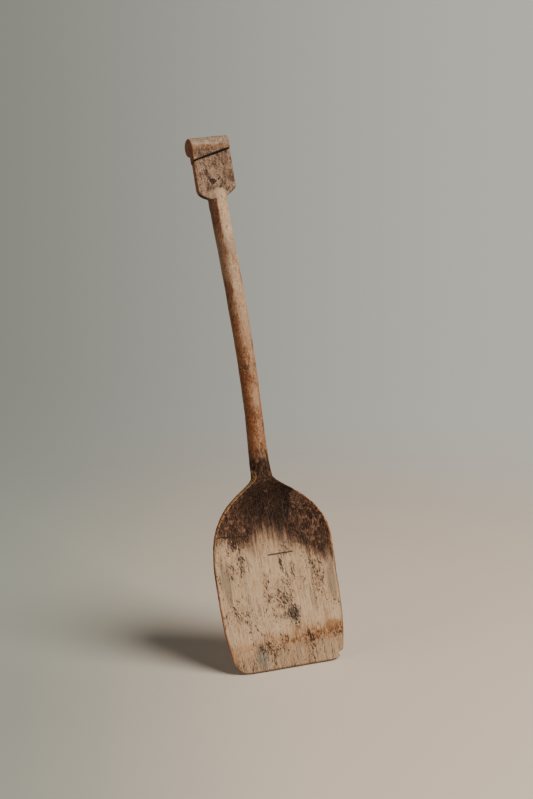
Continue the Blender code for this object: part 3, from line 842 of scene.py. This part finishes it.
def shaft_wood():
    w = Wood(
        "shaft_wood_worn", fibre=(1.3, 26, 4, 0.7, 1), streak=(5, 150, 3, 0.6, 2), cloud=(15, 42, 4, 0.6, 33),
        mottle=(6.5, 13, 4, 0.7, 5), fleck=(2.4, 6, 3, 0.6, 36), speck=(2.6, 4.4, 4, 0.75, 40),
    )
    tone = w.fibre * 0.16 + w.streak * 0.08 + w.cloud * 0.22 + w.mottle * 0.24 + w.speck * 0.3
    low = w.ramp(tone, (0.4, (0.038, 0.015, 0.008)), (0.46, (0.18, 0.078, 0.036)), (0.52, (0.385, 0.202, 0.105)),
                 (0.59, (0.6, 0.395, 0.24)))
    high = w.ramp(tone, (0.38, (0.15, 0.07, 0.034)), (0.44, (0.4, 0.235, 0.13)), (0.51, (0.6, 0.425, 0.28)),
                  (0.6, (0.7, 0.55, 0.405)))
    rise = (w.z + w.cloud.sway(380) + w.mottle.sway(200)).step(565, 905)
    colour = w.mix(rise, low, high)
    rubbed = w.spot(5, 540, 8, 22, w.cloud.sway(4) + w.mottle.sway(4))
    rubbed = rubbed.above(w.spot(8, 715, 10, 60, w.cloud.sway(5) + w.mottle.sway(3)))
    colour = w.mix(rubbed * 0.55, colour, SHAFT_RUBBED)
    grey = ((w.z - 846).size() + w.mottle.sway(100)).step(40, 6)
    colour = w.mix(grey * 0.45, colour, SHAFT_GREY)

    # painted shade: the left flank, turned away from the key light, is coloured darker red-brown, and darker still
    # just under the head
    left_flank_shade = (w.x - 1.5 + w.mottle.sway(12) + w.cloud.sway(10)).step(-5, -13)
    red = w.ramp(w.speck, (0.38, (0.09, 0.025, 0.01)), (0.6, (0.43, 0.148, 0.052)))
    colour = w.mix(left_flank_shade * (0.72 - rise * 0.22), colour, red)
    blot = (w.cloud + w.mottle.sway(0.9)).step(0.575, 0.66)
    blot = blot.above(w.spot(-14, 915, 9, 24, w.mottle.sway(2)))
    blot = blot.above(w.spot(-16, 752, 10, 34, w.mottle.sway(2.4)))
    colour = w.mix(blot * 0.45, colour, SHAFT_BLOT)
    # painted shadow: the left side just under the head is darkened further
    left_shadow_under_head = (w.x - 1.0 + w.mottle.sway(9)).step(-6, -10) * (w.z + w.cloud.sway(120)).step(840, 900)
    shadow_dark_red = w.ramp(w.speck, (0.4, (0.05, 0.016, 0.008)), (0.6, (0.24, 0.088, 0.037)))
    colour = w.mix(left_shadow_under_head * 0.7, colour, shadow_dark_red)

    mark = shaft_marks(w)
    colour = w.mix(mark * 0.72, colour, SHAFT_MARK)
    share, shade = neck_soot(w)
    height = w.fibre * 0.4 + w.mottle * 0.55 + w.cloud * 0.4 - mark
    return w.finish(w.mix(share, colour, shade), 0.52 + w.fibre * 0.22, height, 0.9, 0.0008)


# ---------------------------------------------------------------- the head's and the roll's wood

HEAD_RUB, HEAD_UNDER_SHADE, HEAD_BLOT = (0.2, 0.115, 0.07), (0.055, 0.022, 0.012), (0.09, 0.048, 0.03)
JOINT_SHADE, HEAD_MARK = (0.014, 0.009, 0.008), (0.016, 0.009, 0.007)
ROLL_ORANGE, ROLL_LINE = (0.34, 0.165, 0.07), (0.07, 0.035, 0.022)
ROLL_RED, HEAD_RED, END_DARK = (0.3, 0.105, 0.04), (0.37, 0.13, 0.052), (0.11, 0.035, 0.014)
LOZENGE_X, LOZENGE_Z, LOZENGE_WIDE, LOZENGE_TALL = -6.5, 986, 8, 6.0


def add_roll_bands(w, colour):
    """The roll's top is coloured paler as a painted highlight where light falls from above, with an orange band and a
    dark broken line under it.
    """
    level = w.z + w.mottle.sway(12) + w.fleck.sway(8)
    colour = w.mix(level.near(1058.5, 6, 1) * 0.45, colour, ROLL_ORANGE)
    # painted highlight: the top of the roll is coloured paler where light falls from above
    lit_top_highlight = w.ramp(w.mottle, (0.4, (0.27, 0.19, 0.13)), (0.6, (0.54, 0.425, 0.32)))
    colour = w.mix(level.step(1060, 1066) * 0.75, colour, lit_top_highlight)
    return w.mix(level.near(1052, 3.5, 0.5) * w.mottle.step(0.47, 0.6) * 0.7, colour, ROLL_LINE)


def add_tongue(w, colour, tone):
    """The pale tongue where the shaft's round runs out on the paddle's front, and a rubbed place beside it."""
    left = (1.0 - (w.z - HEAD_BOTTOM) / 30).above(0)
    tongue = (w.x - 3).size() + w.mottle.sway(30) + w.cloud.sway(36) - 19.0 * left**0.5
    tongue = tongue + w.z.step(962, 982) * 30.0
    pale = w.ramp(tone, (0.38, (0.2, 0.1, 0.055)), (0.5, (0.56, 0.4, 0.27)), (0.6, (0.68, 0.53, 0.39)))
    colour = w.mix(tongue.step(17, -11) * 0.9, colour, pale)
    return w.mix(w.spot(27, 1010, 10, 34, w.cloud.sway(3)) * 0.35, colour, HEAD_RUB)


def lozenge(w):
    """A plain burnt lozenge with a dot in it, on the front only."""
    across, along = (w.x - LOZENGE_X).size() / LOZENGE_WIDE, (w.z - LOZENGE_Z).size() / LOZENGE_TALL
    ring = (across + along + w.fleck.sway(0.25)).near(0.8, 0.34, 0.22)
    dot = (across * across + along * along).step(0.16, 0.08)
    return ring.above(dot) * w.y.step(0, -3) * 1.15


def head_wood(name, roll):
    """The wood of the paddle or, with roll, of the grip on top of it."""
    w = Wood(
        name, fibre=(1.4, 22, 4, 0.7, 51), streak=(5, 80, 3, 0.6, 52), cloud=(13, 20, 4, 0.6, 53),
        mottle=(4.5, 7, 4, 0.7, 54), fleck=(2.2, 4, 3, 0.6, 55), speck=(2.2, 2.8, 4, 0.75, 60),
    )
    tone = w.fibre * 0.22 + w.streak * 0.1 + w.cloud * 0.36 + w.mottle * 0.32
    tone = tone * 0.7 + w.speck * 0.3
    colour = w.ramp(tone, (0.42, (0.022, 0.011, 0.008)), (0.468, (0.1, 0.054, 0.033)), (0.512, (0.25, 0.158, 0.103)),
                    (0.565, (0.51, 0.375, 0.265)))
    colour = add_roll_bands(w, colour) if roll else add_tongue(w, colour, tone)

    # the ends: red on the left, dull brown on the right
    off = (w.x - HEAD_X).size()
    dull = w.ramp(w.speck, (0.4, (0.12, 0.058, 0.03)), (0.6, (0.36, 0.22, 0.13)))
    red = w.mix(w.speck.step(0.5, 0.38) * 0.6, ROLL_RED if roll else HEAD_RED, END_DARK)
    side = off.step(HEAD_HALF - 2.9, HEAD_HALF - 1.1) * (0.8 + w.mottle.sway(1.6))
    colour = w.mix(side, colour, w.mix(w.x.step(-10, 10), red, dull))

    # painted shade: a dark line along the paddle's lower arris, where shade falls under the shoulders, straight on
    # the right shoulder and curved on the left
    underside_shade = w.z - w.x.step(-1, 1) * (HEAD_BOTTOM + 5.7 + (off - 20) * 0.75)
    low = (off - 19).above(0)
    underside_shade = underside_shade - w.x.step(1, -1) * (HEAD_BOTTOM + 0.4 + low * 0.3 + low * low * 0.012)
    colour = w.mix(underside_shade.step(1.5, 0.2) * off.step(18, 22) * 0.85, colour, HEAD_UNDER_SHADE)

    # painted shade: a near-black line along the slanted joint between paddle and roll, where shade falls in the gap,
    # widest near the middle
    joint_line_shade = (w.z - joint_height(w.x, w.y - DEPTH)).size()
    joint_line_shade = (joint_line_shade - (1.1 + w.x.near(8, 44, 4) * 1.2 + w.mottle.sway(2.4))).step(1.4, 0)
    colour = w.mix(joint_line_shade * 0.92, colour, JOINT_SHADE)
    blot = (w.cloud + w.mottle.sway(0.8)).step(0.58, 0.68)
    colour = w.mix(blot * (0.75 if roll else 0.5), colour, HEAD_BLOT)
    mark = (w.fleck + w.noise(20, 20, 2, 0.5, 57).sway(0.3)).step(0.66, 0.72)
    if not roll:
        slash = w.x + 0.45 * w.z + w.mottle.sway(6)
        gouge = slash.math("PINGPONG", slash, 12).step(2.4, 0.6) * w.noise(13, 15, 2, 0.5, 56).step(0.53, 0.6)
        mark = mark.above(gouge * 0.8).above(lozenge(w))
    colour = w.mix(mark * (0.35 if roll else 0.86), colour, HEAD_MARK)
    height = w.fibre * 0.3 + w.mottle * 0.6 + w.cloud * 0.4 - mark - joint_line_shade * 0.5
    return w.finish(colour, 0.6 + w.fibre * 0.2, height, 1, 0.0009)


def plain_peg(name, colour):
    w = Wood(name, ring=(1.2, 1.2, 4, 0.7, 81), rust=(3, 3, 3, 0.6, 82))
    shade = w.mix(w.ring * 0.6 + w.rust * 0.4, tuple(c * 0.4 for c in colour), colour)
    return w.finish(shade, 0.6 + w.ring * 0.2, w.ring, 0.6, 0.0003)


# ---------------------------------------------------------------- stage

LEAN = math.radians(21.9)  # the floor's slope under the leaning scoop
FLOOR_DEPTH = 0.0095  # where the slope passes height zero: under the back arris of the blade's edge
FLOOR_RADIUS = 3.0
FLOOR_FADE = (650.0, 2000.0)  # the floor is gone past the second, in millimetres
CAMERA_TURN = math.radians(-24.0)
CAMERA_AWAY = 4.6
CAMERA_HEIGHT = 0.1
CAMERA_ROLL = math.radians(-9.3)
LOOK_AT = Vector((0.037, 0.0, 0.535))
LENS = 104.0
LIT_MIDDLE = Vector((0, 0, 0.4))
WALL_LEFT, WALL_RIGHT = (0.252, 0.255, 0.222), (0.56, 0.54, 0.47)
FOOT_LEFT, FOOT_RIGHT = (0.345, 0.35, 0.307), (0.62, 0.575, 0.505)
ROOM, BEHIND = (0.056, 0.046, 0.036), (0.66, 0.6, 0.53)
BEHIND_WAY = (0.0, 0.995, 0.1)
PAPER_WARM = (0.76, 0.685, 0.605), (0.73, 0.665, 0.59)
PAPER_SHADED_COOL = (0.405, 0.455, 0.425), (0.54, 0.605, 0.56)


def make_camera():
    """The camera, left of the hollow and rolled. Returns its own right and up."""
    data = bpy.data.cameras.new("camera")
    data.lens = LENS
    data.sensor_width = 36.0
    data.clip_end = 60.0
    camera = bpy.data.objects.new("camera", data)
    bpy.context.scene.collection.objects.link(camera)
    where = Vector((math.sin(CAMERA_TURN) * CAMERA_AWAY, -math.cos(CAMERA_TURN) * CAMERA_AWAY, CAMERA_HEIGHT))
    ahead = (LOOK_AT - where).normalized()
    right = ahead.cross(Vector((0, 0, 1))).normalized()
    up = right.cross(ahead)
    turned_right = right * math.cos(CAMERA_ROLL) + up * math.sin(CAMERA_ROLL)
    turned_up = up * math.cos(CAMERA_ROLL) - right * math.sin(CAMERA_ROLL)
    turn = Matrix((turned_right, turned_up, -ahead)).transposed()
    camera.matrix_world = Matrix.Translation(where) @ turn.to_4x4()
    bpy.context.scene.camera = camera
    return turned_right, turned_up


def make_floor():
    """A round pale floor under the blade's edge that fades out, so that it hides nothing from behind."""
    bm = bmesh.new()
    bmesh.ops.create_circle(bm, cap_ends=True, segments=96, radius=FLOOR_RADIUS)
    bm.transform(Matrix.Translation((0, FLOOR_DEPTH, 0)) @ Matrix.Rotation(LEAN, 4, "X"))
    mesh = bpy.data.meshes.new("floor")
    bm.to_mesh(mesh)
    bm.free()
    floor = bpy.data.objects.new("floor", mesh)
    bpy.context.scene.collection.objects.link(floor)
    w = Wood("pale_paper")
    warm = w.mix(w.noise(300, 300, 3, 0.5, 91) * 0.35, *PAPER_WARM)
    # painted shade: the paper is coloured darker and cooler towards the left and front, away from the key light
    shaded_cool = w.mix((w.x * 0.41 + w.y * 0.91).step(-250.0, 550.0), *PAPER_SHADED_COOL)
    colour = w.mix((w.x * 0.91 - w.y * 0.41).step(70.0, -620.0), warm, shaded_cool)
    w.tree.links.new(colour.socket, w.surface.inputs["Base Color"])
    w.surface.inputs["Roughness"].default_value = 0.95
    w.surface.inputs["Specular IOR Level"].default_value = 0.1
    far = w.add("ShaderNodeVectorMath", {"operation": "LENGTH"}, output="Value", i0=w.at)
    paper, clear = Sock(w.tree, w.surface.outputs[0]), w.add("ShaderNodeBsdfTransparent")
    both = w.add("ShaderNodeMixShader", i0=far.step(*FLOOR_FADE), i1=paper, i2=clear)
    w.tree.links.new(both.socket, w.tree.nodes["Material Output"].inputs["Surface"])
    mesh.materials.append(w.material)


def make_lights(right):
    """A large warm light high on the right and a weak one on the left, both set out from the sloping floor."""
    level = Vector((0, -math.sin(LEAN), math.cos(LEAN)))
    flat_right = (right - level * right.dot(level)).normalized()
    flat_near = flat_right.cross(level)

    def panel(name, side, near, high, size, power, colour):
        data = bpy.data.lights.new(name, "AREA")
        data.shape = "DISK"
        data.size = size
        data.energy = power
        data.color = colour
        light = bpy.data.objects.new(name, data)
        light.location = LIT_MIDDLE + flat_right * side + flat_near * near + level * high
        light.rotation_mode = "QUATERNION"
        light.rotation_quaternion = (LIT_MIDDLE - light.location).to_track_quat("-Z", "Y")
        bpy.context.scene.collection.objects.link(light)

    panel("key", side=2.85, near=1.45, high=2.85, size=3.0, power=256.0, colour=(1.0, 0.885, 0.76))
    panel("fill", side=-2.0, near=1.2, high=0.9, size=1.6, power=12.0, colour=(1.0, 0.92, 0.84))


def make_room(right, up):
    """Paper where the camera looks past the floor, painted lighter to the right and lower down as painted light; for
    all else a dim room, lighter behind the scoop.
    """
    world = bpy.data.worlds.new("studio")
    bpy.context.scene.world = world
    world.use_nodes = True
    tree = world.node_tree
    way = add_node(tree, "ShaderNodeTexCoord", output="Generated")

    def along(axis):
        dot = {"operation": "DOT_PRODUCT"}
        return add_node(tree, "ShaderNodeVectorMath", dot, output="Value", i0=way, i1=tuple(axis))

    # painted light: the backdrop grows lighter to the right and towards the floor, as a painted falloff of the key
    # light
    share = along(right).step(-0.15, 0.13)
    high = mix_colours(tree, share, WALL_LEFT, WALL_RIGHT)
    low = mix_colours(tree, share, FOOT_LEFT, FOOT_RIGHT)
    wall = mix_colours(tree, along(up).step(-0.13, 0.02), low, high)
    room = mix_colours(tree, along(BEHIND_WAY).step(0.72, 0.97), ROOM, BEHIND)
    seen = add_node(tree, "ShaderNodeLightPath", output="Is Camera Ray")
    colour = mix_colours(tree, seen, room, wall)
    tree.links.new(colour.socket, tree.nodes["Background"].inputs["Color"])


# ---------------------------------------------------------------- put together


def dress(piece, node, material):
    """The worn mesh takes the CAD node's place."""
    piece.data.materials.append(material)
    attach(piece, "root")
    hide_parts(node)


def paint(node, material):
    """A carried-over CAD node with a better material."""
    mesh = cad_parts[node].data
    for k in range(len(mesh.materials)):
        mesh.materials[k] = material


dress(make_blade(), "blade", blade_wood())
dress(make_shaft(), "shaft", shaft_wood())
dress(make_head(), "handle_head", head_wood("head_wood_worn", roll=False))
dress(make_roll(), "grip_roll", head_wood("roll_wood_worn", roll=True))
peg = plain_peg("peg_wood_worn", (0.075, 0.042, 0.026))
pin = plain_peg("pin_iron_rusted", (0.05, 0.035, 0.028))
for node in ("blade_peg_upper", "blade_peg_middle", "blade_peg_lower", "roll_dowel_left", "roll_dowel_right"):
    paint(node, peg)
for node in ("head_pin_upper", "head_pin_lower"):
    paint(node, pin)

view_right, view_up = make_camera()
make_floor()
make_lights(view_right)
make_room(view_right, view_up)

bpy.context.view_layer.update()
